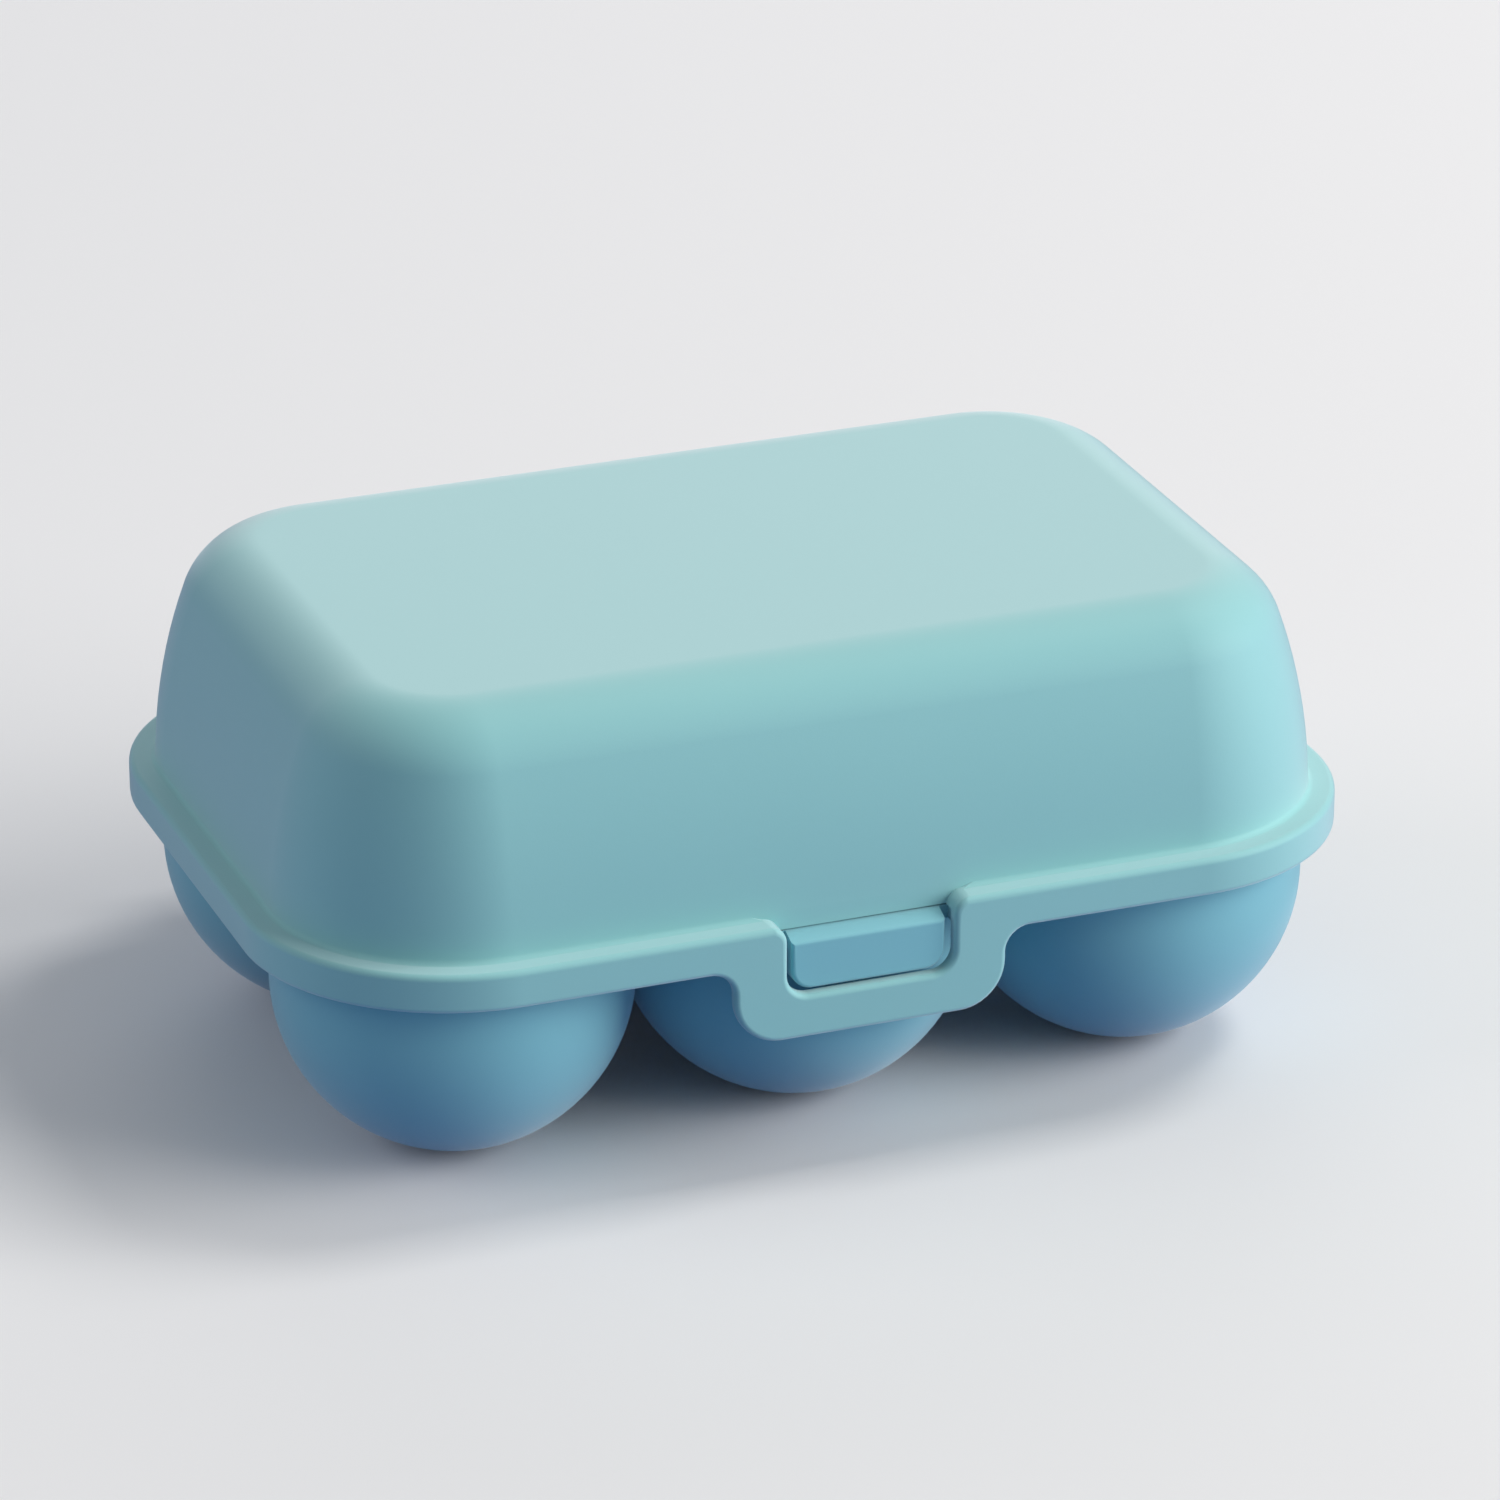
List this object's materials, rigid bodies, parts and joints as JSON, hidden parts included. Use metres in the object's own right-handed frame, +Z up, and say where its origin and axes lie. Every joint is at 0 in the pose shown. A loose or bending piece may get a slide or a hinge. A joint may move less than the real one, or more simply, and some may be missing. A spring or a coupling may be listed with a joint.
{
  "type": "egg carrier",
  "caption": "Moulded plastic egg box on round cups, with a domed hinged lid whose front apron snaps over a button on the tray.",
  "frame": {"origin": "centre of the bounding box's underside, on the surface that the cups stand on", "axes": "+X along the long side, +Y from the latch to the hinge, +Z up"},
  "size_m": [0.1594, 0.1154, 0.07],
  "materials": {
    "moulded_tray": "satin moulded plastic, fine even grain, pale aqua",
    "moulded_lid": "satin moulded plastic, fine even grain, pale aqua"
  },
  "bodies": {
    "tray": {"base_tray": "moulded_tray"},
    "cover": {"lid": "moulded_lid"}
  },
  "joints": [
    {"name": "lid_hinge", "type": "hinge", "parent": "tray", "child": "cover", "pos_m": [0, 0.0547, 0.0352], "axis": [-1, 0, 0], "range_deg": [0, 180]}
  ]
}
